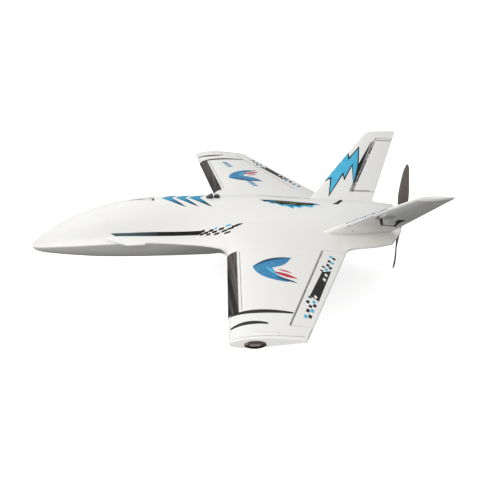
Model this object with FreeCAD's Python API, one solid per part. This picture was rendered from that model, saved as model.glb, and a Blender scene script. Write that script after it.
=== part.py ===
import FreeCAD, Part
import math
import os

"""Small electric foam aircraft: blended body, plug-in wings, canted V-tail and a pusher propeller.

Millimetres. +X is forward, +Y is the port side, +Z is up. The origin is on the flat face of the
belly skid, in the plane of symmetry, below the leading edge of the wing root.
"""

V = FreeCAD.Vector
Z_AXIS = V(0, 0, 1)

# ---------------------------------------------------------------- driving dimensions
WING_Z = 46.0            # height of the wing's chord plane over the belly
ROOT_Y = 150.0           # where the wing panels plug on to the body
TIP_Y = 425.0            # flat tip of the wing panel
ROOT_CHORD = 178.0
LE_SLOPE = 0.072         # leading edge, forward per mm of span
TE_SLOPE = 0.366         # trailing edge, forward per mm of span
ROOT_THICKNESS = 22.0
TIP_THICKNESS = 14.0
TIP_DROP = 6.0           # the tips sit this much lower than the root
CAMBER = 0.015
TE_THICKNESS = 1.8
GAP = 0.3                # running gap between foam pieces
HATCH_GAP = 0.1          # the hatch fits closer than that, its seam hardly shows

AILERON_HINGE_IN = (-142.03, 151.5)  # x, y of the hinge line at the aileron's inner end
AILERON_HINGE_OUT = (-61.0, 389.0)
END_GAP = 1.3            # gap at the ends of the moving surfaces: their ends swing inwards as they turn
HINGE_GROOVE = 3.2       # width of the open groove along a hinge line
PIN_R = 0.9              # hinge pin radius

TAIL_CANT = math.radians(51.2)       # the tail panels lean out this far from upright
TAIL_ROOT = (79.0, WING_Z + 10.0)    # y, z of the tail panel's root line
TAIL_SPAN = 140.0
TAIL_LE = (-157.0, -273.0)           # x at the root and the tip
TAIL_TE = (-268.4, -327.0)
TAIL_HINGE = (-227.4, -298.0)
TAIL_ROOT_THICKNESS = 11.5
TAIL_TIP_THICKNESS = 7.0
RUDDER_SPAN = (12.5, 122.0)          # inner and outer end of the moving surface, along the panel

AILERON_PINS = (25.0, 125.0, 225.0)  # hinge pins, measured along the hinge from its outer end
AILERON_LINK = 142.0
AILERON_ROD = 62.0                   # hinge line to servo shaft
RUDDER_PINS = (30.0, 62.0, 128.0)
RUDDER_LINK = 92.0
RUDDER_ROD = 27.0

MOTOR_Z = WING_Z + 1.0
FIREWALL_X = -262.0
MOTOR_R = 13.9
PROP_X = -297.0
PROP_R = 101.6
PROP_PITCH = 115.0       # advance per turn
PROP_REST = 11.8         # degrees from upright, where the blades are stopped

HATCH_X = (11.0, 186.0)  # rear and front end of the hatch
SPARS = ((-52.0, 4.0, 220.0), (-112.0, 2.5, 190.0))  # x, radius and half length of the carbon wing spars

ARM = 12.0               # servo arm and control horn, pivot to pushrod hole
ROD_R = 0.75
HOLE_R = 0.85

os.makedirs("parts", exist_ok=True)


# ---------------------------------------------------------------- helpers
def table(points):
    """Monotone cubic through (x, value) points given from nose to tail."""
    pts = sorted(points)
    xs, ys = [p[0] for p in pts], [p[1] for p in pts]
    h = [b - a for a, b in zip(xs, xs[1:])]
    d = [(b - a) / w for a, b, w in zip(ys, ys[1:], h)]
    m = [d[0]]
    for i in range(1, len(d)):
        if d[i - 1] * d[i] <= 0:
            m.append(0.0)
        else:
            w1, w2 = 2 * h[i] + h[i - 1], h[i] + 2 * h[i - 1]
            m.append((w1 + w2) / (w1 / d[i - 1] + w2 / d[i]))
    m.append(d[-1])

    def value(x):
        x = min(max(x, xs[0]), xs[-1])
        i = max(k for k in range(len(h)) if xs[k] <= x)
        t = (x - xs[i]) / h[i]
        return (
            (1 + 2 * t) * (1 - t) ** 2 * ys[i]
            + t * (1 - t) ** 2 * h[i] * m[i]
            + t * t * (3 - 2 * t) * ys[i + 1]
            + t * t * (t - 1) * h[i] * m[i + 1]
        )

    return value


def box(x0, x1, y0, y1, z0, z1):
    return Part.makeBox(x1 - x0, y1 - y0, z1 - z0, V(x0, y0, z0))


def cylinder(p, direction, r, length):
    return Part.makeCylinder(r, length, V(*p), V(*direction))


def prism(points, direction):
    """Solid swept from a closed polygon of 3-D points."""
    wire = Part.makePolygon([V(*p) for p in points] + [V(*points[0])])
    return Part.Face(wire).extrude(V(*direction))


def loft(wires, ruled=False):
    return Part.makeLoft(wires, True, ruled)


def fuse(shapes):
    out = shapes[0].multiFuse(shapes[1:]) if len(shapes) > 1 else shapes[0]
    return out.removeSplitter()


def cut_all(shape, tools):
    for tool in tools:
        shape = shape.cut(tool)
    return shape


def mirrored(shape):
    return shape.mirror(V(0, 0, 0), V(0, 1, 0))


def save(name, shape):
    if not shape.isValid() or not shape.Solids:
        print("CHECK", name, "valid", shape.isValid(), "solids", len(shape.Solids))
    shape = shape.Solids[0] if len(shape.Solids) == 1 else Part.makeCompound(shape.Solids)
    shape.exportStep(f"parts/{name}.step")


def save_pair(name, shape):
    """Port piece and its mirror image on the starboard side."""
    save(name + "_port", shape)
    save(name + "_starboard", mirrored(shape))


# ---------------------------------------------------------------- wing section
def leading_edge(y):
    return LE_SLOPE * (y - ROOT_Y)


def chord_at(y):
    return ROOT_CHORD - (TE_SLOPE - LE_SLOPE) * (y - ROOT_Y)


def thickness_at(y):
    share = (y - ROOT_Y) / (TIP_Y - ROOT_Y)
    return ROOT_THICKNESS + share * (TIP_THICKNESS - ROOT_THICKNESS)


def half_thickness(t, share):
    """Half thickness at a share of the chord, for a section of greatest thickness t."""
    s = max(share, 0.0)
    shape = 0.2969 * math.sqrt(s) - 0.1260 * s - 0.3516 * s**2 + 0.2843 * s**3 - 0.1036 * s**4
    return 5 * t * shape + s * TE_THICKNESS / 2


def camber_line(chord, share):
    return CAMBER * chord * 4 * share * (1 - share)


def airfoil(le, chord, t, place, camber=CAMBER, grow=0.0):
    """Closed wire of a section; place(x, up) puts a point of the section in space."""
    shares = [(1 - math.cos(math.pi * i / 12)) / 2 for i in range(13)]
    mean = [camber_line(chord, s) * camber / CAMBER for s in shares]
    half = [half_thickness(t, s) + grow for s in shares]
    half[0] = 0.0
    x = [le - s * chord for s in shares]
    x[0] += grow
    up = [place(a, m + h) for a, m, h in zip(x, mean, half)]
    low = [place(a, m - h) for a, m, h in zip(x, mean, half)]
    top, bottom = Part.BSplineCurve(), Part.BSplineCurve()
    top.interpolate(up)
    bottom.interpolate(low)
    return Part.Wire([top.toShape(), Part.makeLine(up[-1], low[-1]), bottom.toShape()])


def plane_z(y):
    return WING_Z - TIP_DROP * max(0.0, abs(y) - ROOT_Y) / (TIP_Y - ROOT_Y)


def wing_section(y, grow=0.0):
    z = plane_z(y)
    return airfoil(leading_edge(y), chord_at(y), thickness_at(y), lambda x, up: V(x, y, z + up), grow=grow)


# ---------------------------------------------------------------- body section
RIDGE = table([(303, 17.5), (298, 25), (290, 31.3), (262, 49.2), (230, 65), (198, 76.3), (163, 85.2),
               (134, 89.1), (107, 91.1), (76, 91.6), (22, 90.6), (-60, 87.2), (-146, 79.4), (-250, 72.8), (-285, 68.5)])
BELLY = table([(303, 13), (297, 9), (288, 6.5), (262, 3.4), (225, 0.9), (180, -0.9), (120, -1), (-60, -1),
               (-120, 4), (-178, 12), (-220, 17), (-257, 20.5), (-285, 23)])
BELLY_W = table([(303, 1), (290, 3), (262, 5), (225, 8), (180, 11), (120, 14), (20, 12), (0, 10), (-60, 14),
                 (-178, 16), (-285, 12)])
EDGE_W = table([(303, 2.4), (299, 8), (290, 14.5), (262, 26), (223, 38), (177, 47), (116, 57), (64, 73), (35, 86),
                (20, 97), (10, 109), (4, 122), (1, 138), (0, 150), (-178, 150), (-184, 138), (-257, 116),
                (-264, 102), (-279, 71), (-285, 58)])
EDGE_Z = table([(303, 15), (290, 17.5), (262, 22), (223, 27), (177, 32), (116, 36.5), (64, 38.5), (20, 42),
                (0, 46), (-285, 46)])
DOME_W = table([(303, 1.5), (290, 11), (262, 20.5), (223, 30.5), (177, 38.5), (116, 43), (64, 45), (0, 48),
                (-60, 49), (-120, 47), (-178, 42), (-285, 34)])
DOME_Z = table([(303, 15.7), (290, 19.5), (262, 28), (223, 36), (177, 44), (116, 48), (64, 51), (20, 56), (0, 60),
                (-60, 66), (-120, 65.5), (-178, 63), (-250, 60), (-285, 57)])
DOME_FALL = table([(303, 45), (262, 60), (177, 72), (116, 72), (64, 66), (20, 56), (0, 50), (-60, 36), (-120, 30),
                   (-178, 25), (-285, 26)])
EDGE_FALL = table([(303, 50), (223, 45), (177, 40), (116, 34), (64, 30), (20, 34), (0, 34), (-4, 20), (-18, 7),
                   (-60, 2), (-178, 6), (-285, 12)])
HULL_FALL = table([(303, 60), (116, 56), (64, 44), (20, 28), (8, 18), (0, 12), (-4, 10), (-18, 6), (-60, 2), (-178, 3),
                   (-240, 8), (-285, 22)])
EDGE_THICK = 1.4
BELLY_TURN = 14.0        # how far out from the flat the belly starts to rise
DOME_CROWN = 0.68        # breadth of the dome's rounded top
STATIONS = [
    [303, 301.5, 298, 292, 283, 270, 250, 228, 203, 177, 150, 120, 90, 64, 42, 26, 15, 8, 3.5, 0.5, 0],
    [0, -1.5, -4, -9, -18, -32, -55, -85, -115, -145, -163, -173, -178],
    [-178, -184, -205, -230, -257],
    [-257, -264, -271, -279, -285],
]


def edge_span(x):
    """Lowest and highest point of the body's side edge at station x."""
    if -ROOT_CHORD <= x <= 0:
        share = -x / ROOT_CHORD
        half, mean = half_thickness(ROOT_THICKNESS, share), camber_line(ROOT_CHORD, share)
        half = max(half, EDGE_THICK / 2)
        return WING_Z + mean - half, WING_Z + mean + half
    thick = EDGE_THICK if x > 0 else 2.6
    return EDGE_Z(x) - thick / 2, EDGE_Z(x) + thick / 2


def bezier(points):
    curve = Part.BezierCurve()
    curve.setPoles(points)
    return curve.toShape()


def body_section(x, inset=0.0):
    """Closed wire of the body at station x: belly flat, hull, edge, flange, dome and their mirror images."""
    low, high = edge_span(x)
    w, yd, zd = EDGE_W(x), DOME_W(x) - inset, DOME_Z(x)
    zt, zb, wb = RIDGE(x) - inset, BELLY(x), BELLY_W(x)
    fall, edge_fall, hull_fall = (math.radians(f(x)) for f in (DOME_FALL, EDGE_FALL, HULL_FALL))
    flange, drop = math.hypot(w - yd, high - zd), zd - high
    rim = min(0.4 * flange, 0.75 * drop / math.sin(edge_fall))
    foot = min(0.4 * flange, 0.85 * drop / math.sin(fall))
    hull = 0.42 * math.hypot(w - wb, low - zb)
    side = [
        [(wb, zb), (wb + min(0.7 * hull, BELLY_TURN), zb),
         (w - hull * math.cos(hull_fall), low - hull * math.sin(hull_fall)), (w, low)],
        [(w, low), (w, high)],
        [(w, high), (w - rim * math.cos(edge_fall), high + rim * math.sin(edge_fall)),
         (yd + foot * math.cos(fall), zd - foot * math.sin(fall)), (yd, zd)],
        [(yd, zd), (yd - 0.55 * (zt - zd) * math.cos(fall), zd + 0.55 * (zt - zd) * math.sin(fall)),
         (DOME_CROWN * yd, zt), (0, zt)],
    ]
    edges = [bezier([V(x, y, z) for y, z in s]) for s in side]
    other = [bezier([V(x, -y, z) for y, z in reversed(s)]) for s in reversed(side)]
    return Part.Wire(edges + other + [Part.makeLine(V(x, -wb, zb), V(x, wb, zb))])


def body_blank():
    """The whole outer form of the body, as one solid with a flat on its belly."""
    form = fuse([loft([body_section(x) for x in group]) for group in STATIONS])
    return form.cut(box(-320, 320, -200, 200, -20, 0))


def below_edge():
    """Everything below the parting line, which follows the body's side edge."""
    line = [(x, -200, EDGE_Z(x)) for x in [320] + STATIONS[0] + [-300]]
    return prism(line + [(-300, -200, -60), (320, -200, -60)], (0, 400, 0))


# ---------------------------------------------------------------- body pieces
def bay_void():
    """The equipment bay: flat floor, straight sides and an arched roof inside the hatch."""
    floor_z, wall = 8.0, 9.0
    wires = []
    for x in (HATCH_X[0] + 6, 60, 100, 140, HATCH_X[1] - 6):
        w, top, spring = DOME_W(x) - wall, RIDGE(x) - wall, DOME_Z(x) + 4
        arch = Part.Arc(V(x, w, spring), V(x, 0, top), V(x, -w, spring)).toShape()
        corners = [V(x, -w, spring), V(x, -w * 0.8, floor_z), V(x, w * 0.8, floor_z), V(x, w, spring)]
        lines = [Part.makeLine(a, b) for a, b in zip(corners, corners[1:])]
        wires.append(Part.Wire([arch] + lines))
    return loft(wires, ruled=True)


def hatch_outline(gap=0.0):
    """Vertical prism around the hatch: it follows the dome's sides and has a rounded front end."""
    rear, front = HATCH_X
    xs = [rear - gap, 40, 70, 100, 130, 155]
    half = [(x, 0.975 * DOME_W(x) + gap) for x in xs]
    nose_w, nose_x = 0.975 * DOME_W(155), 155.0
    for i in range(1, 7):
        a = math.pi / 2 * i / 6
        half.append((nose_x + (front + gap - nose_x) * math.sin(a), (nose_w + gap) * math.cos(a) ** 0.55
                     if i < 6 else 9.0 + gap))
    outline = half + [(x, -y) for x, y in reversed(half)]
    return prism([(x, y, 0) for x, y in outline], (0, 0, 120))


def above_seat(gap):
    """Everything above the ledge that the hatch rests on."""
    line = [(x, -200, seat_z(x) + gap) for x in (-20, 40, 100, 145, 200)]
    return prism(line + [(200, -200, 130), (-20, -200, 130)], (0, 400, 0))


def seat_z(x):
    return DOME_Z(x) + 2.5


def intake_duct():
    """Submerged air intake in the top of the hatch: a ramp that widens and deepens aft, then a throat."""
    tip, end, top = 148.0, 109.0, 110.0
    side = [(tip, RIDGE(tip) + 0.2), (130, RIDGE(130) - 2.0), (end, RIDGE(end) - 5.0), (end - 3.4, RIDGE(end) - 5.0)]
    side = prism([(x, -10, z) for x, z in side + [(end - 3.4, top), (tip, top)]], (0, 20, 0))
    plan = [(tip, -0.8), (130, -5.4), (end, -9.6), (end - 3.4, -9.6)]
    plan = prism([(x, y, 0) for x, y in plan + [(x, -y) for x, y in reversed(plan)]], (0, 0, 120))
    return side.common(plan), box(end - 3.4, end, -9.6, 9.6, RIDGE(end) - 14, RIDGE(end) - 5.0)


def catch_pieces():
    """The two halves of the hatch catch on the ridge: a thumb wedge on the hatch, a keeper on the deck."""
    x, top = HATCH_X[0], RIDGE(HATCH_X[0])
    profile = [(x + 0.8, top - 3), (x + 0.8, top + 5.0), (x + 2.6, top + 5.6), (x + 11.5, top + 0.8), (x + 11.5, top - 3)]
    wedge = prism([(a, -6, b) for a, b in profile], (0, 12, 0))
    keeper = cylinder((x - 5.6, 0, top - 3), (0, 0, 1), 4.6, 7.2)
    keeper = keeper.makeFillet(1.4, [e for e in keeper.Edges if e.BoundBox.ZMin > top + 2])
    return wedge, keeper


def tunnel():
    """Cable tunnel from the bay to the motor, over the spars."""
    return box(FIREWALL_X, HATCH_X[0] + 8, -10, 10, WING_Z + 7, WING_Z + 18)


def motor_recess():
    return cylinder((FIREWALL_X, 0, MOTOR_Z), (-1, 0, 0), 17.2, 40)


def spar_bores():
    return [cylinder((x, -half, WING_Z + 1), (0, 1, 0), r, 2 * half) for x, r, half in SPARS]


def firewall_slot():
    """Slot in the tail end for the motor's mounting plate."""
    return box(FIREWALL_X - 3, FIREWALL_X, -19, 19, MOTOR_Z - 19, MOTOR_Z + 19)


def esc_room():
    """Widening of the tunnel, behind the bay, for the speed controller."""
    return box(-66, 24, -15, 15, WING_Z + 6, WING_Z + 22)


def deck_vent():
    """Slanted cooling outlet through the rear deck, down into the tunnel."""
    return prism([(-180, 9, 60), (-191, 9, 60), (-202, -9, 60), (-196, -9, 60)], (0, 0, 40))


def hatch_magnets():
    """Round magnets: two in the wall behind the hatch, then the two that face them in the hatch."""
    spots = [(y, RIDGE(10) - 13.0) for y in (-14.0, 14.0)]
    rear, front = HATCH_X[0] - GAP, HATCH_X[0]
    return ([cylinder((rear - 2, y, z), (1, 0, 0), 4.0, 2) for y, z in spots]
            + [cylinder((front, y, z), (1, 0, 0), 4.0, 2) for y, z in spots])


# ---------------------------------------------------------------- frames for tail and linkages
def tail_point(x, span, normal=0.0):
    """Point of the port tail panel: x, distance out along the panel, and offset outwards from its mean plane."""
    s, c = math.sin(TAIL_CANT), math.cos(TAIL_CANT)
    return V(x, TAIL_ROOT[0] + span * s + normal * c, TAIL_ROOT[1] + span * c - normal * s)


def tail_section(span, grow=0.0):
    share = span / TAIL_SPAN
    le = TAIL_LE[0] + share * (TAIL_LE[1] - TAIL_LE[0])
    te = TAIL_TE[0] + share * (TAIL_TE[1] - TAIL_TE[0])
    t = TAIL_ROOT_THICKNESS + share * (TAIL_TIP_THICKNESS - TAIL_ROOT_THICKNESS)
    return airfoil(le, le - te, t, lambda x, up: tail_point(x, span, up), camber=0.0, grow=grow)


def placed(shape, origin, u, v, w):
    """Moves a shape from a local frame with axes u, v, w to the aircraft frame."""
    m = FreeCAD.Matrix(u.x, v.x, w.x, origin.x, u.y, v.y, w.y, origin.y, u.z, v.z, w.z, origin.z, 0, 0, 0, 1)
    out = shape.copy()
    out.transformShape(m, False)
    return out


class Hinge:
    """A hinge line from its outer end a to its inner end b. w is the side where the horn stands, v runs
    along the line and u points forward, from the hinge to the servo."""

    def __init__(self, a, b, w):
        self.a, self.v = a, (b - a).normalize()
        self.w = (w - self.v * w.dot(self.v)).normalize()
        self.u = self.v.cross(self.w)
        self.length = (b - a).Length

    def at(self, distance):
        return self.a + self.v * distance

    def put(self, shape, distance, along=0.0, rise=0.0):
        """Places a shape at a distance down the line, moved on by (along, rise) and tilted to match."""
        tilt = math.atan2(rise, along) if along else 0.0
        u = self.u * math.cos(tilt) + self.w * math.sin(tilt)
        w = self.w * math.cos(tilt) - self.u * math.sin(tilt)
        origin = self.at(distance) + self.u * along + self.w * rise
        return placed(shape, origin, u, self.v, w)


WING_HINGE = Hinge(
    V(*AILERON_HINGE_OUT, plane_z(AILERON_HINGE_OUT[1]) + 0.9), V(*AILERON_HINGE_IN, WING_Z + 1.2), V(0, 0, -1)
)
TAIL_HINGE_LINE = Hinge(
    tail_point(TAIL_HINGE[1], TAIL_SPAN), tail_point(TAIL_HINGE[0], 0), tail_point(0, 0, 1) - tail_point(0, 0, 0)
)


def hinge_slot(hinge, start, end, half):
    """Cutter along a hinge line: a narrow slot through the panel, a little wider at both skins."""
    pts = [(-half, -25), (half, -25), (0.9 * half, 0), (half, 25), (-half, 25), (-0.9 * half, 0)]
    return hinge.put(prism([(u, 0, w) for u, w in pts], (0, end - start, 0)), start)


class Servo:
    """Servo on its side, around its output shaft: u forward, v along the shaft, w out of the skin."""

    def __init__(self, rear, front, height, half, ear):
        self.rear, self.front, self.height, self.half, self.ear = rear, front, height, half, ear

    def case(self):
        h = self.half
        body = box(-self.rear, self.front, -self.height, -0.8, -h, h)
        ears = box(-self.rear - self.ear, self.front + self.ear, -6.6, -4.6, -h, h)
        screws = [cylinder((u, -4.6, 0), (0, 1, 0), 1.5, 1.0)
                  for u in (-self.rear - self.ear / 2, self.front + self.ear / 2)]
        boss = cylinder((0, -0.8, 0), (0, 1, 0), min(5.2, h - 0.4), 0.7)
        bore = cylinder((0, -2.2, 0), (0, 1, 0), 2.45, 5)
        return fuse([body, ears, boss] + screws).cut(bore)

    def pocket(self):
        """Room for the case and for the sweep of its arm, open to the skin."""
        h = self.half + 0.2
        body = box(-self.rear - 0.2, self.front + 0.2, -self.height - 0.2, -0.8, -h, 30)
        ears = box(-self.rear - self.ear - 0.2, self.front + self.ear + 0.2, -6.9, -0.8, -h, 30)
        sweep = box(-8.5, 8.5, -0.9, 6.4, -min(h, 5.4), 30)
        return fuse([body, ears, sweep])


WING_SERVO = Servo(6.0, 16.5, 22.5, 6.1, 4.6)
TAIL_SERVO = Servo(15.2, 4.6, 17.5, 4.2, 4.0)


def servo_arm():
    hub = cylinder((0, 0.2, 0), (0, 1, 0), 3.3, 3.0)
    stub = cylinder((0, -1.8, 0), (0, 1, 0), 2.4, 2.2)
    bar = prism([(-2.3, 0.8, 0), (2.3, 0.8, 0), (1.7, 0.8, ARM), (-1.7, 0.8, ARM)], (0, 1.6, 0))
    tip = cylinder((0, 0.8, ARM), (0, 1, 0), 1.9, 1.6)
    hole = cylinder((0, 0, ARM), (0, 1, 0), HOLE_R, 6)
    return fuse([hub, stub, bar, tip]).cut(hole)


def pushrod(length):
    """Straight wire with a bent pin at each end; it runs beside the horn (u = 0) and the arm (u = length)."""
    run, bend, k = 4.4, 1.6, math.sqrt(0.5)

    def corner(u, side):
        mid = V(u + side * bend * (1 - k), run - bend * (1 - k), ARM)
        return Part.Arc(V(u, run - bend, ARM), mid, V(u + side * bend, run, ARM)).toShape()

    path = Part.Wire([
        Part.makeLine(V(0, 0.4, ARM), V(0, run - bend, ARM)),
        corner(0, 1),
        Part.makeLine(V(bend, run, ARM), V(length - bend, run, ARM)),
        corner(length, -1),
        Part.makeLine(V(length, run - bend, ARM), V(length, 0.4, ARM)),
    ])
    ring = Part.Wire(Part.makeCircle(ROD_R, V(0, 0.4, ARM), V(0, 1, 0)))
    return path.makePipeShell([ring], True, False)


def control_horn(skin):
    """Moulded horn on a moving surface: a base let into the skin and a fin with the pushrod hole."""
    base = box(-17.0, -3.6, -3.0, 6.2, skin - 1.6, skin + 0.9)
    fin = prism([(-14.5, 0.8, skin), (-4.6, 0.8, skin), (1.8, 0.8, ARM - 0.6), (0, 0.8, ARM + 2.1),
                 (-1.8, 0.8, ARM)], (0, 1.6, 0))
    tip = cylinder((0, 0.8, ARM), (0, 1, 0), 2.0, 1.6)
    hole = cylinder((0, 0, ARM), (0, 1, 0), HOLE_R, 6)
    return fuse([base, fin, tip]).cut(hole)


def hinge_pins(hinge, places):
    """Nylon pins on the hinge line, each with a flat leaf that is glued into the fixed surface."""
    one = fuse([cylinder((0, -6, 0), (0, 1, 0), PIN_R, 12), box(0.3, 11, -2.4, 2.4, -0.5, 0.5)])
    return Part.makeCompound([hinge.put(one, at) for at in places])


def leaf_slots(hinge, places):
    return [hinge.put(box(-0.5, 11, -2.4, 2.4, -0.5, 0.5), at) for at in places]


def knuckle_room(hinge, places):
    return [hinge.put(cylinder((0, -6.8, 0), (0, 1, 0), 2.5, 13.6), at) for at in places]


def knuckles(hinge, places):
    """On the moving surface: two bored knuckles beside each leaf, each carried on a short tang."""
    out = []
    for at in places:
        for v0 in (-6.1, 2.9):
            knuckle = cylinder((0, v0, 0), (0, 1, 0), 1.9, 3.2)
            tang = box(-5, 0, v0, v0 + 3.2, -1.0, 1.0)
            bore = cylinder((0, v0 - 1, 0), (0, 1, 0), PIN_R + 0.06, 6)
            out.append(hinge.put(knuckle.fuse(tang).cut(bore), at))
    return out


def linkage(prefix, hinge, servo, place, along, rise, skin):
    """Saves the horn, servo, arm and pushrod of one moving surface and returns the horn."""
    rod = math.hypot(along, rise)
    horn = hinge.put(control_horn(skin), place)
    if rise:
        tilt = math.atan2(rise, along)
        u = hinge.u * math.cos(tilt) + hinge.w * math.sin(tilt)
        w = hinge.w * math.cos(tilt) - hinge.u * math.sin(tilt)
        horn = placed(control_horn(skin), hinge.at(place), u, hinge.v, w)
        wire = placed(pushrod(rod), hinge.at(place), u, hinge.v, w)
    else:
        wire = hinge.put(pushrod(rod), place)
    save_pair(prefix + "_horn", horn)
    save_pair(prefix + "_servo", hinge.put(servo.case(), place, along, rise))
    save_pair(prefix + "_servo_arm", hinge.put(servo_arm(), place, along, rise))
    save_pair(prefix + "_pushrod", wire)
    return horn


# ---------------------------------------------------------------- wings
def wing_blank():
    y0, y1 = ROOT_Y + GAP, TIP_Y - 3.0
    panel = loft([wing_section(y0), wing_section(y1)], ruled=True)
    cap = loft([wing_section(y1), shrunk_tip(TIP_Y - 0.8, 0.94), shrunk_tip(TIP_Y, 0.84)], ruled=True)
    return panel.fuse(cap).removeSplitter()


def shrunk_tip(y, share):
    """Tip section drawn in a little, which rounds the edge of the wing's flat end."""
    le, chord, t, z = leading_edge(y), chord_at(y), thickness_at(y), plane_z(y)
    return airfoil(le - (1 - share) * 6, chord - (1 - share) * 12, t * share, lambda x, up: V(x, y, z + up))


def surface_region(extra):
    """Plan region of the aileron, from the hinge line back, grown at both ends by extra."""
    (xi, yi), (xo, yo) = AILERON_HINGE_IN, AILERON_HINGE_OUT
    slope = (xo - xi) / (yo - yi)
    inner, outer = (xi - extra * slope, yi - extra), (xo + extra * slope, yo + extra)
    far = [(outer[0] - 80, outer[1]), (inner[0] - 80, inner[1])]
    return prism([(x, y, 0) for x, y in [inner, outer] + far], (0, 0, 90))


def wings():
    blank = wing_blank()
    slot = hinge_slot(WING_HINGE, -END_GAP, WING_HINGE.length + END_GAP, HINGE_GROOVE / 2)
    room = knuckle_room(WING_HINGE, AILERON_PINS)
    pocket = WING_HINGE.put(WING_SERVO.pocket(), AILERON_LINK, AILERON_ROD)
    cuts = [slot, pocket, tip_cover(grow=0.15)] + spar_bores() + room + leaf_slots(WING_HINGE, AILERON_PINS)
    wing = biggest(cut_all(blank.cut(surface_region(END_GAP)), cuts))
    save_pair("wing", wing)
    horn = linkage("aileron", WING_HINGE, WING_SERVO, AILERON_LINK, AILERON_ROD, 0.0, 3.9)
    aileron = cut_all(blank.common(surface_region(0.0)), [slot, horn] + room)
    aileron = fuse([biggest(aileron)] + knuckles(WING_HINGE, AILERON_PINS))
    save_pair("aileron", aileron)
    save_pair("aileron_hinge_pins", hinge_pins(WING_HINGE, AILERON_PINS))
    save_pair("leading_edge_guard", leading_edge_guard())
    save_pair("nav_light", nav_light())
    save_pair("tip_cover", tip_cover())


def biggest(shape):
    return max(shape.Solids, key=lambda s: s.Volume)


def leading_edge_guard():
    """Thin moulded guard wrapped round the leading edge."""
    y0, y1, depth, thick = ROOT_Y + 1.0, 352.0, 13.5, 0.5
    outer = loft([wing_section(y0, thick), wing_section(y1, thick)], ruled=True)
    inner = loft([wing_section(y0 - 1), wing_section(y1 + 1)], ruled=True)
    front = prism([(leading_edge(y0) - depth, y0, 0), (leading_edge(y0) + 5, y0, 0),
                   (leading_edge(y1) + 5, y1, 0), (leading_edge(y1) - depth, y1, 0)], (0, 0, 90))
    return outer.cut(inner).common(front)


def tip_cover(grow=0.0):
    """Small cover let into the top of the wing, next to the tip, over the light's wiring."""
    x0, x1, y0, y1 = -42.0, -10.0, TIP_Y - 13.0, TIP_Y - 7.0
    block = box(x0 - grow, x1 + grow, y0 - grow, y1 + grow, WING_Z - 2, WING_Z + 30)
    skin = loft([wing_section(TIP_Y - 30, 0.35), wing_section(TIP_Y - 4, 0.35)], ruled=True)
    inner = loft([wing_section(TIP_Y - 30, -1.3 - grow), wing_section(TIP_Y - 4, -1.3 - grow)], ruled=True)
    return block.cut(inner) if grow else block.common(skin).cut(inner)


def nav_light():
    """Streamlined lens on the wing's flat end."""
    rx, ry, rz = 14.0, 4.6, 5.4
    ball = Part.makeSphere(1.0)
    m = FreeCAD.Matrix(rx, 0, 0, -13.0, 0, ry, 0, TIP_Y + 0.05, 0, 0, rz, WING_Z - TIP_DROP - 1.0, 0, 0, 0, 1)
    lens = ball.transformGeometry(m)
    return lens.common(box(-60, 60, TIP_Y + 0.05, TIP_Y + 20, 0, 90))


# ---------------------------------------------------------------- tail
def tail_spar(grow):
    foot, head = tail_point(-172.5, -6.5), tail_point(-210.5, 46.0)
    return cylinder(tuple(foot), tuple(head - foot), 1.5 + grow, (head - foot).Length)


def tail_blank():
    end = TAIL_SPAN - 2.5
    panel = loft([tail_section(-9.0), tail_section(end)], ruled=True)
    tip = airfoil(TAIL_LE[1] - 4.5, 47.0, TAIL_TIP_THICKNESS * 0.5,
                  lambda x, up: tail_point(x, TAIL_SPAN, up - 0.6), camber=0.0)
    return panel.fuse(loft([tail_section(end), tip], ruled=True)).removeSplitter()


def rudder_region(extra):
    slope = (TAIL_HINGE[1] - TAIL_HINGE[0]) / TAIL_SPAN
    ends = [RUDDER_SPAN[0] - extra, RUDDER_SPAN[1] + extra]
    pts = [tail_point(TAIL_HINGE[0] + slope * s, s, -20) for s in ends]
    pts += [pts[1] + V(-80, 0, 0), pts[0] + V(-80, 0, 0)]
    return prism([tuple(p) for p in pts], tuple(tail_point(0, 0, 40) - tail_point(0, 0, 0)))


def tails(body):
    line = TAIL_HINGE_LINE
    blank = tail_blank()
    stretch = line.length / TAIL_SPAN
    start, end = (TAIL_SPAN - RUDDER_SPAN[1]) * stretch, (TAIL_SPAN - RUDDER_SPAN[0]) * stretch
    slot = hinge_slot(line, start - 1.2 * END_GAP, end + 1.2 * END_GAP, 1.3)
    room = knuckle_room(line, RUDDER_PINS)
    along, rise = RUDDER_ROD, 1.6
    pocket = line.put(TAIL_SERVO.pocket(), RUDDER_LINK, along, rise)
    cuts = [slot, pocket, tail_spar(0.0), body] + room + leaf_slots(line, RUDDER_PINS)
    tail = biggest(cut_all(blank.cut(rudder_region(END_GAP)), cuts))
    save_pair("vtail", tail)
    horn = linkage("ruddervator", line, TAIL_SERVO, RUDDER_LINK, along, rise, 3.6)
    rudder = cut_all(blank.common(rudder_region(0.0)), [slot, horn] + room)
    rudder = fuse([biggest(rudder)] + knuckles(line, RUDDER_PINS))
    save_pair("ruddervator", rudder)
    save_pair("ruddervator_hinge_pins", hinge_pins(line, RUDDER_PINS))
    save_pair("tail_spar", tail_spar(0.0))


# ---------------------------------------------------------------- nose strakes and skid
def strake(body):
    outline = [(181, 30), (181, 43), (150, 57), (122, 57.5), (116.5, 50), (116.5, 30)]
    plate = prism([(x, y, 37 + 0.047 * (178 - x) - 0.437 * (y - 43)) for x, y in outline], (0, 0, 1.8))
    return biggest(plate.cut(body))


def belly_skid(hull):
    """Thin moulded skid let into the flat of the belly; it takes the landings."""
    pad = box(-50, 170, -16, 16, 0, 1.2)
    ends = [cylinder((x, 0, 0), (0, 0, 1), 16, 1.2) for x in (-50, 170)]
    return fuse([pad] + ends).common(hull)


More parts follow.
